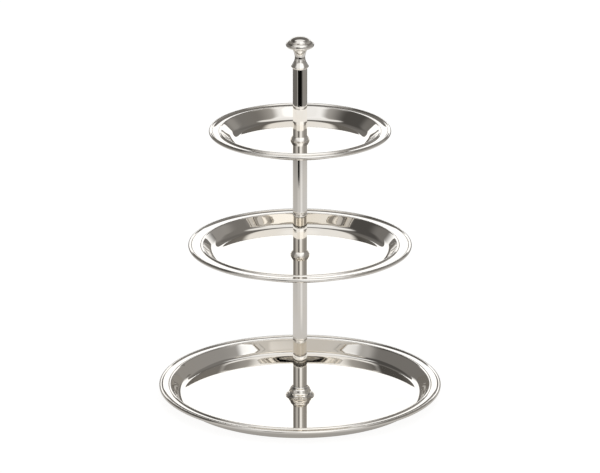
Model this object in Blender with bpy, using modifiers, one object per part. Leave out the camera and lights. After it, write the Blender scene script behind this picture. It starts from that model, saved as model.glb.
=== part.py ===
"""A three-tier cake stand: three round rimmed plates on a column of screwed tubes.

Run with: blender --background --python part.py
The stand rests on Z = 0 with its column on the Z axis. All sizes are in metres.
"""

import math

import bpy

COLLECTION_NAME = "cake_stand"
CUTTER_COLLECTION_NAME = "cake_stand_cutters"

# Finishes: colour, roughness, metallic.
SILVER = ((0.86, 0.84, 0.80), 0.05, 1.0)
BRASS = ((0.78, 0.60, 0.30), 0.25, 1.0)
STEEL = ((0.62, 0.62, 0.63), 0.25, 1.0)

# Gaps that neighbouring pieces keep.
SEAT_GAP = 0.0003
SLIDE_GAP = 0.0003
RECESS_GAP = 0.0006

# Plates: spun sheet with a rolled outer bead, a flat band and an inner bead.
SHEET = 0.0012
OUTER_BEAD_RADIUS = 0.0020
INNER_BEAD_RADIUS = 0.0019
BAND_DROP = 0.0013
INNER_BEAD_DROP = 0.0003

# Each plate's edge width is the distance from its flat floor out to its edge.
BOTTOM_PLATE_RADIUS = 0.150
BOTTOM_PLATE_DEPTH = 0.0150
BOTTOM_RIM_WIDTH = 0.0134
BOTTOM_EDGE_WIDTH = 0.025
BOTTOM_COVE_RADIUS = 0.007

MIDDLE_PLATE_RADIUS = 0.118
MIDDLE_PLATE_DEPTH = 0.0130
MIDDLE_RIM_WIDTH = 0.0164
MIDDLE_EDGE_WIDTH = 0.032
MIDDLE_COVE_RADIUS = 0.013

TOP_PLATE_RADIUS = 0.0955
TOP_PLATE_DEPTH = 0.0120
TOP_RIM_WIDTH = 0.0138
TOP_EDGE_WIDTH = 0.0305
TOP_COVE_RADIUS = 0.013

# Height of each tier: from the surface the stand rests on to the middle plate's upper face,
# from there to the top plate's, and from there to the top of the column.
LOWER_TIER = 0.1592
MIDDLE_TIER = 0.1269
UPPER_TIER = 0.0784

# Raised boss in the bottom plate, which hides the head of the base screw.
BOSS_RISE = 0.0036
BOSS_TOP_RADIUS = 0.0105
BOSS_SLOPE_RUN = 0.0015

# Column.
TUBE_RADIUS = 0.00755
TUBE_WALL = 0.0010
BUSH_LENGTH = 0.012

# Screw thread, drawn as a plain rod of its outer radius.
THREAD_RADIUS = 0.003
THREAD_CLEARANCE = 0.0003
THREAD_ENGAGEMENT = 0.008
THREAD_CHAMFER = 0.0006

# Trumpet-shaped foot flange round the lower tube; it stands out from the tube by its spread.
FOOT_SPREAD = 0.00845
FOOT_HEIGHT = 0.011
FOOT_LIP = 0.0006
FOOT_NECK_WALL = 0.0005
FOOT_FLARE_POWER = 2.1

# Cone collars at the feet of the other two tubes.
COLLAR_SPREAD = 0.00255
COLLAR_HEIGHT = 0.0044
COLLAR_LIP = 0.0004
COLLAR_NECK_WALL = 0.0004

# Washers and base screw.
SEAT_WASHER_RADIUS = 0.012
SEAT_WASHER_THICKNESS = 0.0010
BASE_WASHER_RADIUS = 0.0095
BASE_WASHER_THICKNESS = 0.0008
SCREW_HEAD_RADIUS = 0.0075
SCREW_HEAD_THICKNESS = 0.0018
SCREW_HEAD_CHAMFER = 0.0004
SLOT_WIDTH = 0.0014
SLOT_DEPTH = 0.0008
SLOT_CUTTER_LENGTH = 0.03

# Finial: a cone ring, then a waisted neck under a domed button with a round brim.
FINIAL_EDGE_SPREAD = 0.00175
FINIAL_RING_HEIGHT = 0.0022
FINIAL_WAIST_RADIUS = 0.0054
FINIAL_WAIST_HEIGHT = 0.0105
FINIAL_NECK_TOP_RADIUS = 0.0088
FINIAL_NECK_TOP_HEIGHT = 0.0196
FINIAL_NECK_POWER = 2.0
FINIAL_SKIRT_POWER = 1.7
FINIAL_BRIM_RADIUS = 0.0148
FINIAL_BRIM_HALF = 0.0030
FINIAL_BRIM_HEIGHT = 0.0232
FINIAL_BRIM_START = math.radians(60)
FINIAL_BRIM_END = math.radians(-90)
FINIAL_DOME_RADIUS = 0.0109
FINIAL_DOME_HEIGHT = 0.0064
FINIAL_DOME_SEAT = 0.00216
FINIAL_HOLE_DEPTH = 0.009

# Facets.
PLATE_STEPS = 40
COLUMN_STEPS = 24
FINIAL_STEPS = 24
BEAD_STEP = math.radians(45)
BEAD_UNDERSIDE = math.radians(-100)
COVE_PIECES = 3
FLARE_PIECES = 4
DOME_PIECES = 4
MERGE_DISTANCE = 0.00001
BODY_MARK_SIZE = 0.02

# Derived sizes.
BOTTOM_FLOOR_RADIUS = BOTTOM_PLATE_RADIUS - BOTTOM_EDGE_WIDTH
MIDDLE_FLOOR_RADIUS = MIDDLE_PLATE_RADIUS - MIDDLE_EDGE_WIDTH
TOP_FLOOR_RADIUS = TOP_PLATE_RADIUS - TOP_EDGE_WIDTH
BOTTOM_FLOOR_HEIGHT = SHEET
MIDDLE_FLOOR_HEIGHT = LOWER_TIER
TOP_FLOOR_HEIGHT = MIDDLE_FLOOR_HEIGHT + MIDDLE_TIER
COLUMN_HEIGHT = TOP_FLOOR_HEIGHT + UPPER_TIER
BOSS_TOP = BOTTOM_FLOOR_HEIGHT + BOSS_RISE
TUBE_INNER = TUBE_RADIUS - TUBE_WALL
BUSH_RADIUS = TUBE_INNER - SLIDE_GAP
BORE_RADIUS = THREAD_RADIUS + THREAD_CLEARANCE
FOOT_RADIUS = TUBE_RADIUS + FOOT_SPREAD
COLLAR_RADIUS = TUBE_RADIUS + COLLAR_SPREAD
FINIAL_EDGE_RADIUS = TUBE_RADIUS + FINIAL_EDGE_SPREAD
LOWER_TUBE_FOOT = BOSS_TOP + SEAT_GAP
FINIAL_RING_FOOT = COLUMN_HEIGHT + SEAT_GAP
FINIAL_FOOT = COLUMN_HEIGHT + FINIAL_RING_HEIGHT


def arc(centre_r, centre_z, radius, start, end):
    """Points of an arc turning clockwise, with every whole BEAD_STEP between its ends."""
    first = math.ceil(start / BEAD_STEP) - 1
    last = math.floor(end / BEAD_STEP) + 1
    angles = [start] + [BEAD_STEP * i for i in range(first, last - 1, -1)] + [end]
    return [(centre_r + radius * math.cos(a), centre_z + radius * math.sin(a)) for a in angles]


def wall_slope(run, rise, cove_radius, bead_radius):
    """Slope of the straight wall that touches both the cove's circle and the inner bead's circle.

    run and rise lead from the cove's centre to the bead's.
    """
    return math.atan2(rise, run) + math.asin((cove_radius + bead_radius) / math.hypot(run, rise))


def plate_profile(radius, depth, rim_width, floor_radius, cove_radius, centre):
    """Upper face of a plate, from the hole outwards and round the rolled edge; its floor is at Z = 0."""
    wall_top_radius = radius - rim_width
    band = depth - BAND_DROP
    inner_crest = depth - INNER_BEAD_DROP
    inner_bead_r = wall_top_radius + INNER_BEAD_RADIUS
    inner_bead_z = inner_crest - INNER_BEAD_RADIUS
    outer_bead_r = radius - OUTER_BEAD_RADIUS
    outer_bead_z = depth - OUTER_BEAD_RADIUS

    slope = wall_slope(
        inner_bead_r - floor_radius, inner_bead_z - cove_radius, cove_radius, INNER_BEAD_RADIUS
    )
    cove = []
    for i in range(COVE_PIECES + 1):
        angle = slope * i / COVE_PIECES
        cove.append((
            floor_radius + cove_radius * math.sin(angle),
            cove_radius * (1 - math.cos(angle)),
        ))
    inner_end = math.asin((band - inner_bead_z) / INNER_BEAD_RADIUS)
    outer_start = math.pi - math.asin((band - outer_bead_z) / OUTER_BEAD_RADIUS)
    inner_start = slope + math.pi / 2
    inner_bead = arc(inner_bead_r, inner_bead_z, INNER_BEAD_RADIUS, inner_start, inner_end)
    outer_bead = arc(outer_bead_r, outer_bead_z, OUTER_BEAD_RADIUS, outer_start, BEAD_UNDERSIDE)
    return centre + cove + inner_bead + outer_bead


def flare(foot_radius, neck_radius, height, lip, power):
    """Outer side of a flared foot from its neck down to its lip, as (radius, height)."""
    points = []
    for i in range(FLARE_PIECES + 1):
        share = i / FLARE_PIECES
        points.append((
            neck_radius + (foot_radius - neck_radius) * share**power,
            height + (lip - height) * share,
        ))
    return points + [(foot_radius, 0.0)]


def finial_profile():
    """Outer side of the finial knob from its top down to its foot, as (radius, height)."""
    dome_foot = FINIAL_BRIM_HEIGHT + FINIAL_DOME_SEAT
    brim_r = FINIAL_BRIM_RADIUS - FINIAL_BRIM_HALF
    points = []
    for i in range(DOME_PIECES + 1):
        angle = math.pi / 2 * i / DOME_PIECES
        points.append((
            FINIAL_DOME_RADIUS * math.sin(angle),
            dome_foot + FINIAL_DOME_HEIGHT * math.cos(angle),
        ))
    points += arc(
        brim_r, FINIAL_BRIM_HEIGHT, FINIAL_BRIM_HALF, FINIAL_BRIM_START, FINIAL_BRIM_END
    )
    neck_run = FINIAL_NECK_TOP_RADIUS - FINIAL_WAIST_RADIUS
    neck_rise = FINIAL_NECK_TOP_HEIGHT - FINIAL_WAIST_HEIGHT
    for i in range(FLARE_PIECES):
        share = 1 - i / FLARE_PIECES
        points.append((
            FINIAL_WAIST_RADIUS + neck_run * share**FINIAL_NECK_POWER,
            FINIAL_WAIST_HEIGHT + neck_rise * share,
        ))
    skirt_run = FINIAL_EDGE_RADIUS - FINIAL_WAIST_RADIUS
    for i in range(FLARE_PIECES + 1):
        share = i / FLARE_PIECES
        points.append((
            FINIAL_WAIST_RADIUS + skirt_run * share**FINIAL_SKIRT_POWER,
            FINIAL_WAIST_HEIGHT * (1 - share),
        ))
    return points


def new_material(name, colour, roughness, metallic):
    material = bpy.data.materials.new(name)
    material.use_nodes = True
    shader = material.node_tree.nodes["Principled BSDF"]
    shader.inputs["Base Color"].default_value = (*colour, 1.0)
    shader.inputs["Roughness"].default_value = roughness
    shader.inputs["Metallic"].default_value = metallic
    return material


def profile_object(name, points, closed, origin_height, finish, collection):
    """An object holding a profile in its XZ plane, with its origin on the column axis."""
    mesh = bpy.data.meshes.new(name)
    count = len(points)
    edges = [(i, i + 1) for i in range(count - 1)]
    if closed:
        edges.append((count - 1, 0))
    mesh.from_pydata([(r, 0.0, z) for r, z in points], edges, [])
    piece = bpy.data.objects.new(name, mesh)
    piece.location.z = origin_height
    colour, roughness, metallic = finish
    mesh.materials.append(new_material(name, colour, roughness, metallic))
    collection.objects.link(piece)
    return piece


def turn(piece, steps):
    """Turn the profile round Z."""
    screw = piece.modifiers.new("turn", "SCREW")
    screw.axis = "Z"
    screw.angle = math.tau
    screw.steps = steps
    screw.render_steps = steps
    screw.use_merge_vertices = True
    screw.merge_threshold = MERGE_DISTANCE
    screw.use_smooth_shade = True


def turned_solid(name, outer, origin_height, finish, collection, steps, bore_radius=0.0):
    """A turned piece from its outer side, top to bottom; a bore makes it a ring."""
    if bore_radius:
        points = outer + [(bore_radius, outer[-1][1]), (bore_radius, outer[0][1])]
    else:
        points = [(0.0, outer[0][1])] + outer + [(0.0, outer[-1][1])]
    piece = profile_object(name, points, bool(bore_radius), origin_height, finish, collection)
    turn(piece, steps)
    return piece


def make_plate(name, radius, depth, rim_width, floor_radius, cove_radius, floor_height, boss, collection):
    """A spun plate: its upper face turned round Z, then given the sheet's thickness downwards."""
    if boss:
        centre = [
            (BORE_RADIUS, BOSS_RISE),
            (BOSS_TOP_RADIUS, BOSS_RISE),
            (BOSS_TOP_RADIUS + BOSS_SLOPE_RUN, 0.0),
        ]
    else:
        centre = [(BORE_RADIUS, 0.0)]
    points = plate_profile(radius, depth, rim_width, floor_radius, cove_radius, centre)
    plate = profile_object(name, points, False, floor_height, SILVER, collection)
    turn(plate, PLATE_STEPS)
    sheet = plate.modifiers.new("sheet", "SOLIDIFY")
    sheet.thickness = SHEET
    sheet.offset = -1.0
    sheet.use_even_offset = True
    return plate


def make_tube(name, foot, head, collection):
    outer = [(TUBE_RADIUS, head - foot), (TUBE_RADIUS, 0.0)]
    return turned_solid(name, outer, foot, SILVER, collection, COLUMN_STEPS, TUBE_INNER)


def make_bush(name, foot, collection):
    outer = [(BUSH_RADIUS, BUSH_LENGTH), (BUSH_RADIUS, 0.0)]
    return turned_solid(name, outer, foot, BRASS, collection, COLUMN_STEPS, BORE_RADIUS)


def make_stud(name, foot, head, collection):
    length = head - foot
    outer = [
        (THREAD_RADIUS - THREAD_CHAMFER, length),
        (THREAD_RADIUS, length - THREAD_CHAMFER),
        (THREAD_RADIUS, THREAD_CHAMFER),
        (THREAD_RADIUS - THREAD_CHAMFER, 0.0),
    ]
    return turned_solid(name, outer, foot, STEEL, collection, COLUMN_STEPS)


def make_washer(name, foot, radius, thickness, collection):
    outer = [(radius, thickness), (radius, 0.0)]
    return turned_solid(name, outer, foot, STEEL, collection, COLUMN_STEPS, BORE_RADIUS)


def make_foot_flange(collection):
    """The trumpet flange, hollow underneath to clear the plate's boss."""
    bore = TUBE_RADIUS + SLIDE_GAP
    outer = flare(FOOT_RADIUS, bore + FOOT_NECK_WALL, FOOT_HEIGHT, FOOT_LIP, FOOT_FLARE_POWER)
    recess_top_radius = BOSS_TOP_RADIUS + RECESS_GAP
    recess_height = BOSS_RISE + SEAT_GAP
    inner = [
        (recess_top_radius + BOSS_SLOPE_RUN, 0.0),
        (recess_top_radius, recess_height),
        (bore, recess_height),
        (bore, FOOT_HEIGHT),
    ]
    flange = profile_object(
        "foot_flange", outer + inner, True, BOTTOM_FLOOR_HEIGHT + SEAT_GAP, SILVER, collection
    )
    turn(flange, COLUMN_STEPS)
    return flange


def make_collar(name, floor_height, collection):
    """A loose cone ring that covers the joint between a plate and the tube above it."""
    bore = TUBE_RADIUS + SLIDE_GAP
    outer = [
        (bore + COLLAR_NECK_WALL, COLLAR_HEIGHT),
        (COLLAR_RADIUS, COLLAR_LIP),
        (COLLAR_RADIUS, 0.0),
    ]
    return turned_solid(name, outer, floor_height + SEAT_GAP, SILVER, collection, COLUMN_STEPS, bore)


def make_base_screw(collection, cutters):
    """A flat-headed screw with a coin slot, pushed up through the bottom plate's boss."""
    washer_top = BOSS_RISE - SEAT_GAP
    head_top = washer_top - BASE_WASHER_THICKNESS - SEAT_GAP
    foot = head_top - SCREW_HEAD_THICKNESS
    tip = LOWER_TUBE_FOOT + THREAD_ENGAGEMENT - foot
    outer = [
        (THREAD_RADIUS - THREAD_CHAMFER, tip),
        (THREAD_RADIUS, tip - THREAD_CHAMFER),
        (THREAD_RADIUS, SCREW_HEAD_THICKNESS),
        (SCREW_HEAD_RADIUS, SCREW_HEAD_THICKNESS),
        (SCREW_HEAD_RADIUS, SCREW_HEAD_CHAMFER),
        (SCREW_HEAD_RADIUS - SCREW_HEAD_CHAMFER, 0.0),
    ]
    screw = turned_solid("base_screw", outer, foot, STEEL, collection, COLUMN_STEPS)

    bpy.ops.mesh.primitive_cube_add(size=1.0)
    slot = bpy.context.object
    slot.name = "coin_slot_cutter"
    slot.scale = (SLOT_CUTTER_LENGTH, SLOT_WIDTH, SLOT_DEPTH * 2)
    slot.location.z = foot
    for holder in slot.users_collection:
        holder.objects.unlink(slot)
    cutters.objects.link(slot)
    slot.hide_render = True
    slot.display_type = "WIRE"

    cut = screw.modifiers.new("coin_slot", "BOOLEAN")
    cut.operation = "DIFFERENCE"
    cut.solver = "EXACT"
    cut.object = slot
    return screw, head_top


def make_base(collection, cutters):
    """Bottom plate, its screw and washer, and the foot flange round the lower tube."""
    plate = make_plate(
        "bottom_plate", BOTTOM_PLATE_RADIUS, BOTTOM_PLATE_DEPTH, BOTTOM_RIM_WIDTH,
        BOTTOM_FLOOR_RADIUS, BOTTOM_COVE_RADIUS, BOTTOM_FLOOR_HEIGHT, True, collection,
    )
    screw, head_top = make_base_screw(collection, cutters)
    washer = make_washer(
        "base_washer", head_top + SEAT_GAP, BASE_WASHER_RADIUS, BASE_WASHER_THICKNESS, collection
    )
    return [plate, screw, washer, make_foot_flange(collection)]


def make_section(prefix, floor_height, foot, head, collection):
    """A tube with a threaded bush in each end; one that stands on a raised plate has a stud."""
    pieces = [
        make_tube(f"{prefix}_tube", foot, head, collection),
        make_bush(f"{prefix}_tube_foot_bush", foot, collection),
        make_bush(f"{prefix}_tube_head_bush", head - BUSH_LENGTH, collection),
    ]
    if floor_height:
        below = seat_height(floor_height)
        stud_foot = below - THREAD_ENGAGEMENT
        pieces.append(make_stud(f"{prefix}_stud", stud_foot, foot + THREAD_ENGAGEMENT, collection))
    return pieces


def seat_height(floor_height):
    """Top of the tube that carries a plate: the plate's sheet and a washer lie between."""
    return floor_height - SHEET - SEAT_WASHER_THICKNESS - 2 * SEAT_GAP


def make_finial(collection):
    ring_outer = [
        (FINIAL_EDGE_RADIUS, FINIAL_RING_HEIGHT - SEAT_GAP * 2),
        (TUBE_RADIUS, 0.0),
    ]
    ring = turned_solid(
        "finial_collar", ring_outer, FINIAL_RING_FOOT, SILVER, collection, FINIAL_STEPS, BORE_RADIUS
    )
    outer = finial_profile()
    hole = [
        (BORE_RADIUS, 0.0),
        (BORE_RADIUS, FINIAL_HOLE_DEPTH),
        (0.0, FINIAL_HOLE_DEPTH),
    ]
    knob = profile_object("finial_knob", outer + hole, False, FINIAL_FOOT, SILVER, collection)
    turn(knob, FINIAL_STEPS)
    stud = make_stud(
        "finial_stud", COLUMN_HEIGHT - THREAD_ENGAGEMENT,
        FINIAL_FOOT + FINIAL_HOLE_DEPTH - SEAT_GAP, collection,
    )
    return ring, [knob, stud]


def new_body(name, height, parent, pieces, collection):
    """An empty on the column axis that carries the pieces which move together."""
    body = bpy.data.objects.new(name, None)
    body.empty_display_size = BODY_MARK_SIZE
    collection.objects.link(body)
    body.parent = parent
    parent_height = 0.0
    above = parent
    while above:
        parent_height += above.location.z
        above = above.parent
    body.location.z = height - parent_height
    for piece in pieces:
        piece.location.z -= height
        piece.parent = body
    return body


def build():
    for obj in list(bpy.data.objects):
        bpy.data.objects.remove(obj, do_unlink=True)
    scene = bpy.context.scene
    stand = bpy.data.collections.new(COLLECTION_NAME)
    cutters = bpy.data.collections.new(CUTTER_COLLECTION_NAME)
    scene.collection.children.link(stand)
    scene.collection.children.link(cutters)

    middle_seat = seat_height(MIDDLE_FLOOR_HEIGHT)
    top_seat = seat_height(TOP_FLOOR_HEIGHT)

    base_pieces = make_base(stand, cutters)
    base_pieces += make_section("lower", 0.0, LOWER_TUBE_FOOT, middle_seat, stand)
    base_pieces.append(make_washer(
        "middle_seat_washer", middle_seat + SEAT_GAP, SEAT_WASHER_RADIUS, SEAT_WASHER_THICKNESS, stand
    ))
    middle_plate = make_plate(
        "middle_plate", MIDDLE_PLATE_RADIUS, MIDDLE_PLATE_DEPTH, MIDDLE_RIM_WIDTH,
        MIDDLE_FLOOR_RADIUS, MIDDLE_COVE_RADIUS, MIDDLE_FLOOR_HEIGHT, False, stand,
    )
    middle_collar = make_collar("middle_collar", MIDDLE_FLOOR_HEIGHT, stand)
    middle_pieces = make_section(
        "middle", MIDDLE_FLOOR_HEIGHT, MIDDLE_FLOOR_HEIGHT + SEAT_GAP, top_seat, stand
    )
    middle_pieces.append(make_washer(
        "top_seat_washer", top_seat + SEAT_GAP, SEAT_WASHER_RADIUS, SEAT_WASHER_THICKNESS, stand
    ))
    top_plate = make_plate(
        "top_plate", TOP_PLATE_RADIUS, TOP_PLATE_DEPTH, TOP_RIM_WIDTH,
        TOP_FLOOR_RADIUS, TOP_COVE_RADIUS, TOP_FLOOR_HEIGHT, False, stand,
    )
    top_collar = make_collar("top_collar", TOP_FLOOR_HEIGHT, stand)
    upper_pieces = make_section(
        "upper", TOP_FLOOR_HEIGHT, TOP_FLOOR_HEIGHT + SEAT_GAP, COLUMN_HEIGHT, stand
    )
    finial_ring, finial_pieces = make_finial(stand)

    base = new_body("base_axis", 0.0, None, base_pieces, stand)
    tier = new_body("middle_plate_axis", MIDDLE_FLOOR_HEIGHT, base, [middle_plate], stand)
    tier = new_body("middle_collar_axis", MIDDLE_FLOOR_HEIGHT, tier, [middle_collar], stand)
    tier = new_body("middle_section_axis", MIDDLE_FLOOR_HEIGHT, tier, middle_pieces, stand)
    tier = new_body("top_plate_axis", TOP_FLOOR_HEIGHT, tier, [top_plate], stand)
    tier = new_body("top_collar_axis", TOP_FLOOR_HEIGHT, tier, [top_collar], stand)
    tier = new_body("upper_section_axis", TOP_FLOOR_HEIGHT, tier, upper_pieces, stand)
    tier = new_body("finial_collar_axis", COLUMN_HEIGHT, tier, [finial_ring], stand)
    new_body("finial_axis", COLUMN_HEIGHT, tier, finial_pieces, stand)


build()
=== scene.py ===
import math

import bpy
import numpy as np
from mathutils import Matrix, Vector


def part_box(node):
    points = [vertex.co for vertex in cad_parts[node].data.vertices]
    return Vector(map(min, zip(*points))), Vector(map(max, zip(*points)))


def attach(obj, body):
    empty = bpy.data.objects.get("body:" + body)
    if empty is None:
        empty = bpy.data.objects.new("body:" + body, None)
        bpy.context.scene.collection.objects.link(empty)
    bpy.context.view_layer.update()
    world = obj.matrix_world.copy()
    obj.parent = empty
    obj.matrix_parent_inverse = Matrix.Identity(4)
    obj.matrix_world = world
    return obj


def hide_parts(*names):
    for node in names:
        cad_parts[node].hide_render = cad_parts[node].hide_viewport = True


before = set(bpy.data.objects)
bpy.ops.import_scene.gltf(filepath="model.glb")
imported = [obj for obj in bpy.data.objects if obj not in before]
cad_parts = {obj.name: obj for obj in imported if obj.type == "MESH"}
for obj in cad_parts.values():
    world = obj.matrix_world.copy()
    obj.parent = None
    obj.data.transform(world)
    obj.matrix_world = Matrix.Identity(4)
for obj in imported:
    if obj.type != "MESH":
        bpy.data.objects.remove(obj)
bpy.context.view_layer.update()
print("frame loaded:", len(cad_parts), "nodes")

# sizes that several pieces share, in metres
sharedSizes = {
    "studHole": 0.0033,  # radius of every hole for a stud or screw
    "boreGap": 0.00012,  # between the column's tube and a ring round it
    "plateSink": 0.0003,  # how far the rings on a plate reach below their CAD foot
}


def arcPoints(centreR, centreZ, radius, startDeg, endDeg, count):
    # a point at angle a is the centre plus radius times (cos a, sin a)
    a = np.radians(np.linspace(startDeg, endDeg, count))
    return np.column_stack((centreR + radius * np.cos(a), centreZ + radius * np.sin(a)))


def roundCorners(corners, radii, count=5):
    # each corner is swapped for the arc of its radius that touches both of its sides
    corners = np.asarray(corners, float)
    rounded = []
    for before, corner, after, radius in zip(
        np.roll(corners, 1, 0), corners, np.roll(corners, -1, 0), radii
    ):
        inSide = (before - corner) / np.linalg.norm(before - corner)
        outSide = (after - corner) / np.linalg.norm(after - corner)
        half = math.acos(np.clip(inSide @ outSide, -1, 1)) / 2
        middle = (inSide + outSide) / np.linalg.norm(inSide + outSide)
        centre = corner + middle * radius / math.sin(half)
        sweep = np.linspace(-1, 1, count)[:, None] * (math.pi / 2 - half)
        across = (outSide - inSide) / np.linalg.norm(outSide - inSide)
        rounded.append(centre + radius * (across * np.sin(sweep) - middle * np.cos(sweep)))
    return np.vstack(rounded)


def refine(outline, step, closed):
    # each stretch from a to b gets the points a + (b - a) k / count, where count is its length
    # over the step, rounded up
    starts = outline if closed else outline[:-1]
    strides = (np.roll(outline, -1, 0) if closed else outline[1:]) - starts
    counts = np.maximum(1, np.ceil(np.linalg.norm(strides, axis=1) / step)).astype(int)
    which = np.repeat(np.arange(len(starts)), counts)
    k = np.arange(counts.sum()) - np.repeat(np.cumsum(counts) - counts, counts)
    points = starts[which] + strides[which] * (k / counts[which])[:, None]
    return points if closed else np.vstack((points, outline[-1:]))


def offsetOutline(outline, distance):
    # every point moves by the distance along the mean normal of its two stretches
    along = np.diff(outline, axis=0)
    along /= np.linalg.norm(along, axis=1)[:, None]
    normal = np.column_stack((along[:, 1], -along[:, 0]))
    joined = np.vstack((normal[:1], normal[:-1] + normal[1:], normal[-1:]))
    joined /= np.linalg.norm(joined, axis=1)[:, None]
    stretch = np.ones(len(outline))
    stretch[1:-1] = 1 / np.clip(np.sum(joined[1:-1] * normal[1:], axis=1), 0.5, 1)
    return outline + joined * (distance * stretch)[:, None]


def ringQuads(rows, around, closed=False):
    # faces between neighbours on a grid of rows of points, each row a closed ring
    i = np.arange(rows if closed else rows - 1)[:, None]
    j = np.arange(around)[None]
    below = (i + 1) % rows
    beside = (j + 1) % around
    corners = (i * around + j, below * around + j, below * around + beside, i * around + beside)
    return np.stack(corners, -1).reshape(-1, 4)


def newObject(name, points, faces, sharpDeg):
    mesh = bpy.data.meshes.new(name)
    mesh.from_pydata(points.tolist(), [], faces)
    mesh.shade_smooth()
    mesh.set_sharp_from_angle(angle=math.radians(sharpDeg))
    piece = bpy.data.objects.new(name, mesh)
    bpy.context.scene.collection.objects.link(piece)
    return piece


def turnedMesh(name, outline, around, closed, sharpDeg):
    # the outline turned round Z: (r, z) at angle t gives (r cos t, r sin t, z);
    # it runs down its outer side, and an end on the axis closes the surface with a fan
    outline = np.asarray(outline, float)
    t = np.linspace(0, 2 * np.pi, around, endpoint=False)
    onAxis = outline[:, 0] < 1e-6
    ring = outline[~onAxis]
    grid = np.empty((len(ring), around, 3))
    grid[..., 0] = ring[:, 0, None] * np.cos(t)
    grid[..., 1] = ring[:, 0, None] * np.sin(t)
    grid[..., 2] = ring[:, 1, None]
    points = grid.reshape(-1, 3)
    faces = ringQuads(len(ring), around, closed).tolist()

    side = np.arange(around)
    nextSide = (side + 1) % around
    if onAxis[0]:
        pole = len(points)
        points = np.vstack((points, (0, 0, outline[0, 1])))
        faces += np.column_stack((np.full(around, pole), side, nextSide)).tolist()
    if onAxis[-1]:
        pole = len(points)
        points = np.vstack((points, (0, 0, outline[-1, 1])))
        last = (len(ring) - 1) * around
        faces += np.column_stack((np.full(around, pole), last + nextSide, last + side)).tolist()
    return newObject(name, points, faces, sharpDeg)


def finishPiece(piece, material, body, slot, *nodes):
    # the piece moves with the body and stands for the CAD nodes
    piece.data.materials.append(material)
    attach(piece, body)
    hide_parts(*nodes)
    print("piece made:", piece.name, len(piece.data.polygons), "faces")


def newGroup(name, inputs, outputs):
    group = bpy.data.node_groups.new(name, "ShaderNodeTree")
    for label, kind, value in inputs:
        socket = group.interface.new_socket(label, in_out="INPUT", socket_type=kind)
        if value is not None:
            socket.default_value = value
    for label, kind in outputs:
        group.interface.new_socket(label, in_out="OUTPUT", socket_type=kind)
    return group, group.nodes.new("NodeGroupInput"), group.nodes.new("NodeGroupOutput")


def mathNode(tree, operation, first, second=None):
    node = tree.nodes.new("ShaderNodeMath")
    node.operation = operation
    for socket, value in zip(node.inputs, (first, second)):
        if value is None:
            continue
        if isinstance(value, (int, float)):
            socket.default_value = value
        else:
            tree.links.new(value, socket)
    return node.outputs[0]


def noiseNode(tree, vector, scale, detail, roughness=0.5):
    node = tree.nodes.new("ShaderNodeTexNoise")
    node.inputs["Detail"].default_value = detail
    node.inputs["Roughness"].default_value = roughness
    if isinstance(scale, (int, float)):
        node.inputs["Scale"].default_value = scale
    else:
        tree.links.new(scale, node.inputs["Scale"])
    tree.links.new(vector, node.inputs["Vector"])
    return node.outputs["Fac"]


def mapRange(tree, value, low, high, outLow, outHigh, smooth=False):
    node = tree.nodes.new("ShaderNodeMapRange")
    if smooth:
        node.interpolation_type = "SMOOTHSTEP"
    ends = {"From Min": low, "From Max": high, "To Min": outLow, "To Max": outHigh}
    for label, number in ends.items():
        node.inputs[label].default_value = number
    tree.links.new(value, node.inputs["Value"])
    return node.outputs["Result"]


def mixColor(tree, factor, first, second):
    # a colour is a tuple or another node's output
    node = tree.nodes.new("ShaderNodeMix")
    node.data_type = "RGBA"
    for label, value in (("Factor", factor), ("A", first), ("B", second)):
        socket = [s for s in node.inputs if s.name == label and s.enabled][0]
        if isinstance(value, tuple):
            socket.default_value = (*value, 1)
        else:
            tree.links.new(value, socket)
    return [s for s in node.outputs if s.enabled][0]


def splitPlace(tree, place):
    split = tree.nodes.new("ShaderNodeSeparateXYZ")
    tree.links.new(place, split.inputs[0])
    return split.outputs


def distanceFromAxis(tree, x, y):
    squares = mathNode(tree, "ADD", mathNode(tree, "MULTIPLY", x, x),
                       mathNode(tree, "MULTIPLY", y, y))
    return mathNode(tree, "SQRT", squares)


# noise scales are per metre
marksLook = {
    "ringScale": 900.0,
    "hairlineScale": 260.0,
    "lineScale": 700.0,
    "cloudScale": 14.0,
    "ringBend": 0.004,  # how far the cloud pushes a ring, in metres
    "hairlineTurn": (0.4, 0.7, 0.9),
    "hairlineStretch": (1.0, 9.0, 3.0),
    "hairlineEdges": (0.58, 0.75),  # noise below the first shows none, above the second a full one
    "tubeCloudScale": 35.0,
    "tubeStretch": (1.0, 1.0, 0.03),
}


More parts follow.
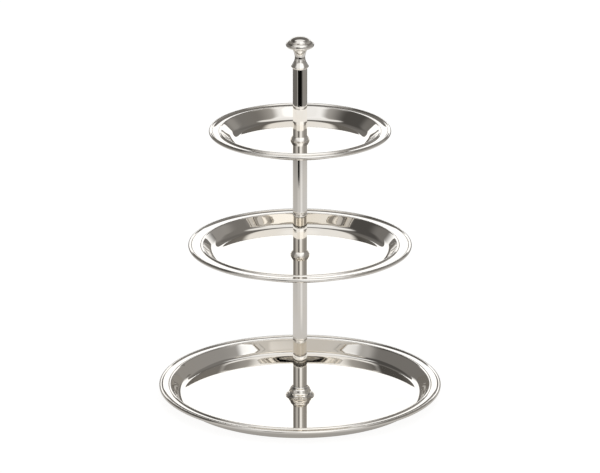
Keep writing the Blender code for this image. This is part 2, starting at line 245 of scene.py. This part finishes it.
def spunMarksGroup():
    # rings left by spinning and buffing: noise that changes with the distance from the axis,
    # bent a little by a slow noise, plus short random hairlines
    look = marksLook
    group, inside, outside = newGroup(
        "spunMarks",
        [("place", "NodeSocketVector", None), ("ringScale", "NodeSocketFloat", look["ringScale"]),
         ("hairlineScale", "NodeSocketFloat", look["hairlineScale"])],
        [("rings", "NodeSocketFloat"), ("hairlines", "NodeSocketFloat"),
         ("cloud", "NodeSocketFloat")],
    )
    place = inside.outputs["place"]
    x, y, z = splitPlace(group, place)
    cloud = noiseNode(group, place, look["cloudScale"], 3.0)
    bent = mathNode(group, "ADD", distanceFromAxis(group, x, y),
                    mathNode(group, "MULTIPLY", cloud, look["ringBend"]))
    ringPlace = group.nodes.new("ShaderNodeCombineXYZ")
    group.links.new(bent, ringPlace.inputs[0])
    group.links.new(z, ringPlace.inputs[1])
    rings = noiseNode(group, ringPlace.outputs[0], inside.outputs["ringScale"], 4.0, 0.6)
    stretched = group.nodes.new("ShaderNodeMapping")
    stretched.inputs["Rotation"].default_value = look["hairlineTurn"]
    stretched.inputs["Scale"].default_value = look["hairlineStretch"]
    group.links.new(place, stretched.inputs["Vector"])
    lines = noiseNode(group, stretched.outputs[0], inside.outputs["hairlineScale"], 5.0, 0.7)
    hairlines = mapRange(group, lines, *look["hairlineEdges"], 0.0, 1.0)
    group.links.new(rings, outside.inputs["rings"])
    group.links.new(hairlines, outside.inputs["hairlines"])
    group.links.new(cloud, outside.inputs["cloud"])
    return group


def drawnMarksGroup():
    # lines along the axis, as drawing and rubbing leave on tube: noise squeezed along Z
    group, inside, outside = newGroup(
        "drawnMarks",
        [("place", "NodeSocketVector", None),
         ("lineScale", "NodeSocketFloat", marksLook["lineScale"])],
        [("lines", "NodeSocketFloat"), ("cloud", "NodeSocketFloat")],
    )
    squeezed = group.nodes.new("ShaderNodeMapping")
    squeezed.inputs["Scale"].default_value = marksLook["tubeStretch"]
    place = inside.outputs["place"]
    group.links.new(place, squeezed.inputs["Vector"])
    lines = noiseNode(group, squeezed.outputs[0], inside.outputs["lineScale"], 3.0, 0.6)
    cloud = noiseNode(group, place, marksLook["tubeCloudScale"], 3.0)
    group.links.new(lines, outside.inputs["lines"])
    group.links.new(cloud, outside.inputs["cloud"])
    return group


spunMarks = spunMarksGroup()
drawnMarks = drawnMarksGroup()


def newMetal(name):
    material = bpy.data.materials.new(name)
    material.use_nodes = True
    tree = material.node_tree
    shader = tree.nodes["Principled BSDF"]
    shader.inputs["Metallic"].default_value = 1.0
    place = tree.nodes.new("ShaderNodeTexCoord").outputs["Object"]
    return material, tree, shader, place


def placeGroup(tree, group, place, **values):
    node = tree.nodes.new("ShaderNodeGroup")
    node.node_tree = group
    tree.links.new(place, node.inputs["place"])
    for label, value in values.items():
        node.inputs[label].default_value = value
    return node.outputs


def addBump(tree, shader, height, strength, distance):
    bump = tree.nodes.new("ShaderNodeBump")
    bump.inputs["Strength"].default_value = strength
    bump.inputs["Distance"].default_value = distance
    tree.links.new(height, bump.inputs["Height"])
    tree.links.new(bump.outputs["Normal"], shader.inputs["Normal"])


silverLook = {
    "clean": (0.965, 0.945, 0.91),
    "warm": (0.94, 0.895, 0.825),
    "cloudEdges": (0.4, 0.75),  # cloud noise where the warm colour begins and where it is full
    "spunWarmth": 0.8,
    "tubeWarmth": 0.7,
    "smoothest": 0.015,
    "dullest": 0.06,
    "wearEdges": (0.1, 0.8),
    "lineEdges": (0.3, 0.7),
    "plateRings": 900.0,  # ring scales
    "knobRings": 1500.0,
    "spunBump": 0.03,
    "lineBump": 0.05,
    "bumpDepth": 0.00002,
}


def spunSilver(name, ringScale):
    # mirror polish that is a little warmer where the cloud noise is high, and duller along
    # its rings and hairlines
    look = silverLook
    material, tree, shader, place = newMetal(name)
    marks = placeGroup(tree, spunMarks, place, ringScale=ringScale)
    warmth = mapRange(tree, marks["cloud"], *look["cloudEdges"], 0.0, look["spunWarmth"])
    wear = mathNode(tree, "ADD", mathNode(tree, "MULTIPLY", marks["rings"], 0.5),
                    mathNode(tree, "MULTIPLY", marks["hairlines"], 0.5))
    roughness = mapRange(tree, wear, *look["wearEdges"], look["smoothest"], look["dullest"])
    color = mixColor(tree, warmth, look["clean"], look["warm"])
    tree.links.new(color, shader.inputs["Base Color"])
    tree.links.new(roughness, shader.inputs["Roughness"])
    addBump(tree, shader, wear, look["spunBump"], look["bumpDepth"])
    return material


def drawnSilver(name):
    # the same polish on tube, duller along its drawing lines
    look = silverLook
    material, tree, shader, place = newMetal(name)
    marks = placeGroup(tree, drawnMarks, place)
    warmth = mapRange(tree, marks["cloud"], *look["cloudEdges"], 0.0, look["tubeWarmth"])
    roughness = mapRange(tree, marks["lines"], *look["lineEdges"], look["smoothest"],
                         look["dullest"])
    color = mixColor(tree, warmth, look["clean"], look["warm"])
    tree.links.new(color, shader.inputs["Base Color"])
    tree.links.new(roughness, shader.inputs["Roughness"])
    addBump(tree, shader, marks["lines"], look["lineBump"], look["bumpDepth"])
    return material


# the hidden fastenings: turned brass and zinc-plated steel
fasteningMetals = {
    "ringScale": 1800.0,
    "hairlineScale": 500.0,
    "cloudEdges": (0.35, 0.7),
    "ringEdges": (0.3, 0.7),
    "bump": 0.3,
    "bumpDepth": 0.00004,
    "brass": {"clean": (0.86, 0.66, 0.33), "dull": (0.68, 0.48, 0.22), "roughness": (0.16, 0.34)},
    "steel": {"clean": (0.66, 0.66, 0.65), "dull": (0.5, 0.5, 0.5), "roughness": (0.2, 0.4)},
}


def turnedMetal(name, metal):
    # plain turned metal: the same rings, stronger and duller
    look = fasteningMetals
    material, tree, shader, place = newMetal(name)
    marks = placeGroup(tree, spunMarks, place, ringScale=look["ringScale"],
                       hairlineScale=look["hairlineScale"])
    dullness = mapRange(tree, marks["cloud"], *look["cloudEdges"], 0.0, 1.0)
    roughness = mapRange(tree, marks["rings"], *look["ringEdges"], *metal["roughness"])
    color = mixColor(tree, dullness, metal["clean"], metal["dull"])
    tree.links.new(color, shader.inputs["Base Color"])
    tree.links.new(roughness, shader.inputs["Roughness"])
    addBump(tree, shader, marks["rings"], look["bump"], look["bumpDepth"])
    return material


plateSilver = spunSilver("plateSilver", silverLook["plateRings"])
knobSilver = spunSilver("knobSilver", silverLook["knobRings"])
tubeSilver = drawnSilver("tubeSilver")
bushBrass = turnedMetal("bushBrass", fasteningMetals["brass"])
screwSteel = turnedMetal("screwSteel", fasteningMetals["steel"])
print("materials made")


# every plate, in metres
plateLook = {
    "sheet": 0.0012,
    "outerBead": 0.0020,  # the beads' radii
    "innerBead": 0.0019,
    "bandDrop": 0.0013,  # the band's and the inner bead's depth below the rim's top
    "innerDrop": 0.0003,
    "bandSag": 0.00022,
    "bandRise": 0.0004,
    "beadEndDeg": -140,  # where the outer bead's curl ends
    "bossRound": 0.0006,
    "around": 288,
    "step": 0.0025,
    "sharpDeg": 50,
}
plateSizes = {
    "bottom": {"rim": 0.0134, "floor": 0.125, "cove": 0.007,
               "boss": 0.0105, "bossSlope": 0.0015, "bossRise": 0.0036},
    "middle": {"rim": 0.0164, "floor": 0.086, "cove": 0.013},
    "top": {"rim": 0.0138, "floor": 0.065, "cove": 0.013},
}


def bandLine(inner, outer, height):
    # the band rises outwards and is slightly hollow: half its rise times s, less the sag times
    # (1 - s squared), s running from -1 to 1 across it
    s = np.linspace(-1, 1, 15)
    return np.column_stack((
        (inner + outer) / 2 + s * (outer - inner) / 2,
        height + plateLook["bandRise"] / 2 * s - plateLook["bandSag"] * (1 - s**2),
    ))


def beadEdge(centreR, bead, deg):
    # how far out the point of a bead at that angle is
    return centreR + bead * math.cos(math.radians(deg))


def plateOutline(radius, depth, size):
    # upper face from the hole outwards, with its floor at 0: floor, cove, straight wall,
    # inner bead, band and the rolled outer bead; the lower face is that face moved down
    # by the sheet's thickness along its normals
    look = plateLook
    wallTop = radius - size["rim"]
    band = depth - look["bandDrop"]
    innerR = wallTop + look["innerBead"]
    innerZ = depth - look["innerDrop"] - look["innerBead"]
    outerR = radius - look["outerBead"]
    outerZ = depth - look["outerBead"]
    cove = size["cove"]

    # the straight wall touches the cove's circle and the inner bead's circle, so its slope is
    # that of the line between their centres, plus the angle whose sine is radii over distance
    run = innerR - size["floor"]
    rise = innerZ - cove
    wallDeg = math.degrees(
        math.atan2(rise, run) + math.asin((cove + look["innerBead"]) / math.hypot(run, rise))
    )
    half = look["bandRise"] / 2
    bandIn = math.degrees(math.asin((band - half - innerZ) / look["innerBead"]))
    bandOut = 180 - math.degrees(math.asin((band + half - outerZ) / look["outerBead"]))
    bossRise = size.get("bossRise", 0.0)
    upper = [np.array([[sharedSizes["studHole"], bossRise]])]
    if bossRise:
        soft = look["bossRound"]
        foot = size["boss"] + size["bossSlope"]
        upper.append(arcPoints(size["boss"] - soft, bossRise - soft, soft, 90, 30, 5))
        upper.append(arcPoints(foot + soft, soft, soft, 210, 270, 5))
    upper.append(arcPoints(size["floor"], cove, cove, -90, wallDeg - 90, 17))
    upper.append(arcPoints(innerR, innerZ, look["innerBead"], wallDeg + 90, bandIn, 15)[:-1])
    upper.append(bandLine(beadEdge(innerR, look["innerBead"], bandIn),
                          beadEdge(outerR, look["outerBead"], bandOut), band))
    upper.append(arcPoints(outerR, outerZ, look["outerBead"], bandOut, look["beadEndDeg"], 31)[1:])
    upper = refine(np.vstack(upper), look["step"], False)
    lower = offsetOutline(upper, look["sheet"])
    return np.vstack((upper, lower[::-1]))


def makePlate(name, node, body, size):
    low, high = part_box(node)
    floorHeight = low.z + plateLook["sheet"]
    outline = plateOutline(high.x, high.z - floorHeight, size)
    outline[:, 1] += floorHeight
    piece = turnedMesh(name, outline, plateLook["around"], True, plateLook["sharpDeg"])
    finishPiece(piece, plateSilver, body, "silver_plate", node)


makePlate("bottomPlate", "bottom_plate", "base", plateSizes["bottom"])
makePlate("middlePlate", "middle_plate", "middle_plate", plateSizes["middle"])
makePlate("topPlate", "top_plate", "top_plate", plateSizes["top"])
print("plates made")


tubeLook = {"around": 96, "wall": 0.0010, "edge": 0.0002, "step": 0.004, "sharpDeg": 50}


def makeTube(name, node, body):
    # a straight wall whose four edges are just broken
    look = tubeLook
    low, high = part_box(node)
    inner = high.x - look["wall"]
    corners = [(inner, high.z), (high.x, high.z), (high.x, low.z), (inner, low.z)]
    outline = refine(roundCorners(corners, [look["edge"]] * 4), look["step"], True)
    piece = turnedMesh(name, outline, look["around"], True, look["sharpDeg"])
    finishPiece(piece, tubeSilver, body, "silver_plate", node)


ringLook = {"around": 96, "bushAround": 64, "step": 0.003, "sharpDeg": 35}


def makeRing(name, node, body, corners, radii, material, slot, around=ringLook["around"]):
    # a ring from the corners of its section, which run down its outer side
    outline = refine(roundCorners(corners, radii), ringLook["step"], True)
    piece = turnedMesh(name, outline, around, True, ringLook["sharpDeg"])
    finishPiece(piece, material, body, slot, node)


def smoothThrough(stations, count):
    # a curve through (radius, height) stations: Catmull-Rom, whose slope at a station is half
    # the step between the stations on either side of it
    p = np.asarray(stations, float)
    p = np.vstack((2 * p[0] - p[1], p, 2 * p[-1] - p[-2]))
    t = np.linspace(0, 1, count, endpoint=False)[:, None]
    a, b, c, d = p[:-3, None], p[1:-2, None], p[2:-1, None], p[3:, None]
    curve = 0.5 * (2 * b + (c - a) * t + (2 * a - 5 * b + 4 * c - d) * t**2
                   + (3 * b - a - 3 * c + d) * t**3)
    return np.vstack((curve.reshape(-1, 2), p[-2:-1]))


# radii and heights above the plate in millimetres
footFlare = {
    # outer side as (radius, height), from the neck down
    "stations": [(7.95, 11.3), (8.5, 10.1), (9.7, 8.9), (10.5, 7.6), (11.0, 6.0), (12.0, 4.1),
                 (13.4, 2.3), (14.7, 0.95)],
    "lip": (14.7, 0.55, 0.5),  # its centre and radius
    "recess": [(13.2, 0.05), (12.4, 4.1)],  # the hollow that fits over the plate's boss
    "boreTop": 11.2,
    "around": 128,
    "step": 0.002,  # this one in metres
    "sharpDeg": 35,
}


def makeFootFlange():
    look = footFlare
    low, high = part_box("foot_flange")
    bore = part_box("lower_tube")[1].x + sharedSizes["boreGap"]
    outer = smoothThrough(np.array(look["stations"]) / 1000, 6)
    lip = arcPoints(*np.array(look["lip"]) / 1000, 60, -75, 7)
    recess = np.array(look["recess"]) / 1000
    inside = [(bore, recess[-1, 1]), (bore, look["boreTop"] / 1000)]
    outline = np.vstack((outer, lip, recess, inside))
    outline[:, 1] += low.z - sharedSizes["plateSink"]
    outline = refine(outline, look["step"], True)
    piece = turnedMesh("footFlange", outline, look["around"], True, look["sharpDeg"])
    finishPiece(piece, knobSilver, "base", "silver_plate", "foot_flange")


collarLook = {
    "radius": 0.0101,
    "headWall": 0.0005,
    "lip": 0.0009,  # height of its straight foot
    "lift": 0.00002,  # keeps its foot off the plate
    "rounding": [0.0001, 0.0002, 0.0004, 0.0001, 0.0001],
}


def makeCollar(name, node, tubeNode, body):
    # a cone on a short straight foot
    look = collarLook
    low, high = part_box(node)
    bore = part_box(tubeNode)[1].x + sharedSizes["boreGap"]
    floor = low.z - sharedSizes["plateSink"] + look["lift"]
    corners = [(bore, high.z), (bore + look["headWall"], high.z),
               (look["radius"], floor + look["lip"]), (look["radius"], floor), (bore, floor)]
    makeRing(name, node, body, corners, look["rounding"], knobSilver, "silver_plate")


makeTube("lowerTube", "lower_tube", "base")
makeTube("middleTube", "middle_tube", "middle_section")
makeTube("upperTube", "upper_tube", "upper_section")
makeFootFlange()
makeCollar("middleCollar", "middle_collar", "middle_tube", "middle_collar")
makeCollar("topCollar", "top_collar", "upper_tube", "top_collar")
print("column made")


finialLook = {
    # neck from under the brim down to the sharp edge, as (radius, height above the edge),
    # in millimetres
    "neck": [(9.6, 20.0), (8.2, 18.7), (7.3, 17.2), (6.6, 15.6), (5.75, 12.7), (5.42, 10.5),
             (5.55, 8.4), (6.1, 6.2), (7.1, 4.0), (8.35, 1.85), (9.3, 0.0)],
    # the rest in metres: the brim's arc, the dome on it, and the stud's hole
    "brimRadius": 0.0118,
    "brimHalf": 0.0030,
    "brimHeight": 0.0235,
    "brimDeg": (100, -115),
    "domeRadius": 0.0112,
    "domeFoot": 0.0024,
    "domeSquareness": 2.15,
    "holeDepth": 0.009,
    "around": 128,
    "step": 0.0015,
    "sharpDeg": 35,
}


def makeFinialKnob():
    # dome: a quarter superellipse, (a sin t, b cos t) with each part raised to the power
    # 2 / squareness; brim: an arc, a small groove below the dome; neck: a curve through its
    # stations down to the sharp edge, with the stud's hole
    look = finialLook
    low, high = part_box("finial_knob")
    foot = low.z
    seat = look["brimHeight"] + look["domeFoot"]
    power = 2 / look["domeSquareness"]
    t = np.radians(np.linspace(0, 90, 29))
    dome = np.column_stack((
        look["domeRadius"] * np.sin(t) ** power,
        seat + (high.z - foot - seat) * np.abs(np.cos(t)) ** power,
    ))
    brim = arcPoints(look["brimRadius"], look["brimHeight"], look["brimHalf"], *look["brimDeg"], 25)
    neck = smoothThrough(np.array(look["neck"]) / 1000, 6)
    bore, depth = sharedSizes["studHole"], look["holeDepth"]
    hole = np.array([(bore, 0.0), (bore, depth), (0.0, depth)])
    outline = np.vstack((dome, brim, neck, hole))
    outline[:, 1] += foot
    outline = refine(outline, look["step"], False)
    piece = turnedMesh("finialKnob", outline, look["around"], False, look["sharpDeg"])
    finishPiece(piece, knobSilver, "finial", "silver_plate", "finial_knob")


finialCollarLook = {
    "edge": 0.0093,
    "headLift": 0.00026,  # closes the joint with the knob above
    "footDrop": 0.00025,  # and with the tube below
    "footGap": 0.0001,  # how far its foot stands proud of the tube
    "rounding": [0.0001, 0.00006, 0.0001, 0.0001],
}


def makeFinialCollar():
    look = finialCollarLook
    low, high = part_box("finial_collar")
    bore = sharedSizes["studHole"]
    head, foot = high.z + look["headLift"], low.z - look["footDrop"]
    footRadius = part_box("upper_tube")[1].x + look["footGap"]
    corners = [(bore, head), (look["edge"], head), (footRadius, foot), (bore, foot)]
    makeRing("finialCollar", "finial_collar", "finial_collar", corners, look["rounding"],
             knobSilver, "silver_plate")


makeFinialKnob()
makeFinialCollar()
print("finial made")


threadLook = {
    "pitch": 0.001, "depth": 0.0006, "taper": 0.0008, "around": 24, "rowsPerPitch": 8,
    "sharpDeg": 50,
}


def threadedRod(name, radius, foot, head):
    # radius at (angle, height): the outer radius less the thread's depth times a triangle wave
    # of (height / pitch - angle / turn), so one start winds up; both ends are tapered
    look = threadLook
    around = look["around"]
    rows = int((head - foot) / look["pitch"] * look["rowsPerPitch"])
    z = np.linspace(foot, head, rows)
    t = np.linspace(0, 2 * np.pi, around, endpoint=False)
    wave = z[:, None] / look["pitch"] - t[None] / (2 * np.pi)
    groove = look["depth"] * np.abs(2 * (wave - np.floor(wave)) - 1)
    toEnd = np.minimum(z - foot, head - z)[:, None]
    r = radius - np.maximum(groove, look["depth"] * (1 - toEnd / look["taper"]))
    grid = np.empty((rows, around, 3))
    grid[..., 0] = r * np.cos(t)
    grid[..., 1] = r * np.sin(t)
    grid[..., 2] = z[:, None]
    # the rows run upwards here, so the corners of each face go round the other way
    faces = ringQuads(rows, around)[:, [0, 3, 2, 1]].tolist()
    faces.append(list(range(around))[::-1])
    faces.append(list(range((rows - 1) * around, rows * around)))
    return newObject(name, grid.reshape(-1, 3), faces, look["sharpDeg"])


def makeStud(name, node, body):
    low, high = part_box(node)
    rod = threadedRod(name, high.x, low.z, high.z)
    finishPiece(rod, screwSteel, body, "zinc_steel", node)


# how far each corner is rounded, from the hole's upper edge outwards and down
bushRounding = [0.0005, 0.0003, 0.0003, 0.0005]
washerRounding = [0.0001, 0.0003, 0.0002, 0.0001]


def ringCorners(node):
    low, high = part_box(node)
    bore = sharedSizes["studHole"]
    return [(bore, high.z), (high.x, high.z), (high.x, low.z), (bore, low.z)]


def makeBush(name, node, body):
    makeRing(name, node, body, ringCorners(node), bushRounding, bushBrass, "turned_brass",
             ringLook["bushAround"])


def makeWasher(name, node, body):
    makeRing(name, node, body, ringCorners(node), washerRounding, screwSteel, "zinc_steel")


for word, body in (("lower", "base"), ("middle", "middle_section"), ("upper", "upper_section")):
    for end in ("foot", "head"):
        makeBush(f"{word}{end.title()}Bush", f"{word}_tube_{end}_bush", body)
makeStud("middleStud", "middle_stud", "middle_section")
makeStud("upperStud", "upper_stud", "upper_section")
makeStud("finialStud", "finial_stud", "finial")
makeWasher("baseWasher", "base_washer", "base")
makeWasher("middleSeatWasher", "middle_seat_washer", "base")
makeWasher("topSeatWasher", "top_seat_washer", "middle_section")
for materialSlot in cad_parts["base_screw"].material_slots:
    materialSlot.material = screwSteel
print("fastenings made")


cameraPlace = {
    "distance": 5.0, "height": 1.859, "pitchDeg": 18.57, "lens": 299.94, "sensor": 36.0,
    "reach": 200.0,
}


def placeCamera():
    camera = bpy.data.objects.new("camera", bpy.data.cameras.new("camera"))
    camera.data.lens = cameraPlace["lens"]
    camera.data.sensor_width = cameraPlace["sensor"]
    camera.data.clip_end = cameraPlace["reach"]
    camera.location = (0, -cameraPlace["distance"], cameraPlace["height"])
    camera.rotation_euler = (math.radians(90 - cameraPlace["pitchDeg"]), 0, 0)
    bpy.context.scene.collection.objects.link(camera)
    bpy.context.scene.camera = camera
    bpy.context.scene.view_settings.view_transform = "Standard"


studioLook = {
    "cameraSees": (1.0, 1.0, 1.0),
    "room": 0.40,
    # what the polish reflects, as bearing and height in degrees (0 is the front, 90 the right),
    # half width, half height, softness and brightness; later ones lie over earlier ones
    "patches": [
        ("horizonBand", 0, 6, 200, 12, 14, 0.55),
        ("farEdge", 180, 9, 44, 22, 8, 0.17),
        ("backShade", 180, 42, 60, 13, 7, 0.14),
        ("leftShade", -115, 42, 38, 18, 20, 0.07),
        ("rightShade", 115, 46, 36, 16, 20, 0.18),
        ("leftWall", -112, 14, 36, 16, 12, 0.17),
        ("rightWall", 100, 16, 46, 16, 12, 0.28),
        ("overheadSheet", 0, 90, 200, 22, 6, 0.92),
        ("overheadBack", 180, 66, 60, 11, 6, 0.85),
        ("lampLeft", -28, 59, 32, 27, 8, 0.88),
        ("lampRight", 30, 58, 32, 27, 8, 1.10),
        ("frontLamp", 15, 18, 13, 13, 6, 0.95),
        ("darkSlit", -21, 10, 8, 12, 6, 0.06),
    ],
    # the table: its glow, a painted light; the same close under the stand, a painted shadow of the
    # stand, and beyond the table's edge; and the distances over which one passes into the next
    "table": 0.58,
    "shadowUnderStand": 0.34,
    "shadowUnderStandEdges": (0.13, 0.19),
    "beyondTable": 0.15,
    "tableEdges": (0.70, 1.08),
    "tableShift": 0.04,
    # sectors of the table: bearing, half width, where they begin and are full, brightness; near
    # ones paint light and shade
    "nearSectors": [
        ("litSectorRight", 24, 15, 0.2, 0.3, 0.78),
        ("shadedSectorLeft", -85, 45, 0.2, 0.5, 0.48),
    ],
    "farSectors": [
        ("dimRight", 90, 45, 0.9, 1.05, 0.26),
        ("dimLeft", -90, 60, 0.9, 1.05, 0.14),
        ("lightStripe", -36, 9, 1.0, 1.06, 0.42),
        ("darkLeft", -20, 15, 0.72, 0.78, 0.004),
        ("darkMiddle", 5, 26, 0.92, 0.98, 0.004),
    ],
    "sectorSoft": 6,
    # the lit panel behind the stand: distance, half width, lower and upper edge; its brightness,
    # the half width and softness of its lit part, and the brightness of its ends
    "panel": (1.2, 1.5, 0.38, 0.71),
    "panelGlow": 1.15,
    "panelFade": (0.85, 0.6),
    "panelEnd": 0.17,
    "tint": (1.0, 0.94, 0.87),
    # radius and height of the floor and of the table top, and the floor's colour and glow
    "floorDisc": (12.0, -0.0002),
    "tableDisc": (6.0, -0.0004),
    "floorColor": (0.3, 0.3, 0.3),
    "floorGlow": (0.88, 0.88, 0.88),
}


def disc(radius, height):
    # points of a circle round the axis
    t = np.linspace(0, 2 * np.pi, 96, endpoint=False)
    return np.column_stack((radius * np.cos(t), radius * np.sin(t), np.full(96, height)))


def newStageSheet(name, points, onlyMirrored, color=(0.0, 0.0, 0.0), glow=(0.0, 0.0, 0.0)):
    # a flat sheet that only the polish sees, or one that everything but the polish sees
    mesh = bpy.data.meshes.new(name)
    mesh.from_pydata(points.tolist(), [], [list(range(len(points)))])
    sheet = bpy.data.objects.new(name, mesh)
    bpy.context.scene.collection.objects.link(sheet)
    material = bpy.data.materials.new(name)
    material.use_nodes = True
    tree = material.node_tree
    shader = tree.nodes["Principled BSDF"]
    shader.inputs["Base Color"].default_value = (*color, 1)
    shader.inputs["Roughness"].default_value = 1.0
    shader.inputs["Specular IOR Level"].default_value = 0.0
    shader.inputs["Emission Color"].default_value = (*glow, 1)
    shader.inputs["Emission Strength"].default_value = 1.0
    mesh.materials.append(material)
    if onlyMirrored:
        sheet.visible_camera = False
        sheet.visible_diffuse = False
        sheet.visible_shadow = False
    else:
        sheet.visible_glossy = False
    return tree, shader.inputs["Emission Color"]


def window(tree, value, middle, half, soft):
    # 1 within half of the middle, 0 outside it, with a smooth edge
    away = mathNode(tree, "ABSOLUTE", mathNode(tree, "SUBTRACT", value, middle))
    return mapRange(tree, away, half - soft / 2, half + soft / 2, 1.0, 0.0, smooth=True)


def bearingOf(tree, x, y):
    # degrees from the front (-Y), growing towards the right (+X)
    angle = mathNode(tree, "ARCTAN2", x, mathNode(tree, "MULTIPLY", y, -1))
    return mathNode(tree, "MULTIPLY", angle, 180 / math.pi)


def bearingWindow(tree, bearing, middle, half, soft):
    # the same round the stand, where 180 degrees and -180 are one bearing
    turned = tree.nodes.new("ShaderNodeMath")
    turned.operation = "WRAP"
    tree.links.new(mathNode(tree, "SUBTRACT", bearing, middle), turned.inputs[0])
    turned.inputs[1].default_value = 180.0
    turned.inputs[2].default_value = -180.0
    return window(tree, turned.outputs[0], 0.0, half, soft)


def tinted(bright):
    # darker parts of the room are a little warmer
    share = min(1.0, bright)
    return tuple(bright * (1 - (1 - part) * (1 - share)) for part in studioLook["tint"])


def lightStudio():
    # the world: white to the camera, and to everything else a soft room with darker parts;
    # a part's mask is the product of a smooth window in bearing and one in height
    world = bpy.data.worlds.new("studio")
    bpy.context.scene.world = world
    world.use_nodes = True
    tree = world.node_tree
    background = tree.nodes["Background"]
    x, y, z = splitPlace(tree, tree.nodes.new("ShaderNodeTexCoord").outputs["Generated"])
    bearing = bearingOf(tree, x, y)
    height = mathNode(tree, "MULTIPLY", mathNode(tree, "ARCSINE", z), 180 / math.pi)
    color = tinted(studioLook["room"])
    for name, middle, middleHeight, half, halfHeight, soft, bright in studioLook["patches"]:
        mask = mathNode(tree, "MULTIPLY", bearingWindow(tree, bearing, middle, half, soft),
                        window(tree, height, middleHeight, halfHeight, soft))
        mask.node.label = name
        color = mixColor(tree, mask, color, tinted(bright))
    seen = tree.nodes.new("ShaderNodeLightPath").outputs["Is Camera Ray"]
    color = mixColor(tree, seen, color, studioLook["cameraSees"])
    tree.links.new(color, background.inputs["Color"])


def mixSectors(tree, color, sectors, bearing, radius):
    # a sector's mask is the product of a window in bearing and a ramp in distance
    for name, middle, half, start, end, bright in sectors:
        ramp = mapRange(tree, radius, start, end, 0.0, 1.0, smooth=True)
        side = bearingWindow(tree, bearing, middle, half, studioLook["sectorSoft"])
        mask = mathNode(tree, "MULTIPLY", side, ramp)
        mask.node.label = name
        color = mixColor(tree, mask, color, tinted(bright))
    return color


def layTable():
    # what the polish reflects below the horizon: a sheet whose glow is painted light, a white table
    # top as it looks lit, with a painted shadow of the stand and painted lighter and darker sectors
    # near it; it fades into the dim room and is nearly black in two sectors towards the camera
    look = studioLook
    # the table top is a sheet that only the polish sees; its glow is painted light, not a lamp
    tree, glow = newStageSheet("tableTop", disc(*look["tableDisc"]), True)
    x, y, z = splitPlace(tree, tree.nodes.new("ShaderNodeTexCoord").outputs["Object"])
    radius = distanceFromAxis(tree, x, y)
    edgeRadius = distanceFromAxis(tree, mathNode(tree, "SUBTRACT", x, look["tableShift"]), y)
    bearing = bearingOf(tree, x, y)
    # painted shadow of the stand: 0 close under the stand, 1 once past it
    away = mapRange(tree, radius, *look["shadowUnderStandEdges"], 0.0, 1.0)
    beyond = mapRange(tree, edgeRadius, *look["tableEdges"], 0.0, 1.0, smooth=True)
    # painted light and shade: lighter and darker sectors of the table's glow near the stand
    color = mixSectors(tree, tinted(look["table"]), look["nearSectors"], bearing, radius)
    color = mixColor(tree, beyond, color, tinted(look["beyondTable"]))
    color = mixSectors(tree, color, look["farSectors"], bearing, radius)
    # the glow close under the stand is darkened into a painted shadow of the stand
    tree.links.new(mixColor(tree, away, tinted(look["shadowUnderStand"]), color), glow)


def hangPanel():
    # the polish of every plate's floor reflects this panel, which is why the floors look white;
    # its glow fades towards both ends
    look = studioLook
    y, half, low, high = look["panel"]
    corners = np.array([(-half, y, low), (half, y, low), (half, y, high), (-half, y, high)])
    tree, glow = newStageSheet("backPanel", corners, True)
    x, y, z = splitPlace(tree, tree.nodes.new("ShaderNodeTexCoord").outputs["Object"])
    lit = window(tree, x, 0.0, *look["panelFade"])
    color = mixColor(tree, lit, tinted(look["panelEnd"]), (look["panelGlow"],) * 3)
    tree.links.new(color, glow)


placeCamera()
lightStudio()
newStageSheet("floor", disc(*studioLook["floorDisc"]), False, studioLook["floorColor"],
              studioLook["floorGlow"])
layTable()
hangPanel()
print("studio made")
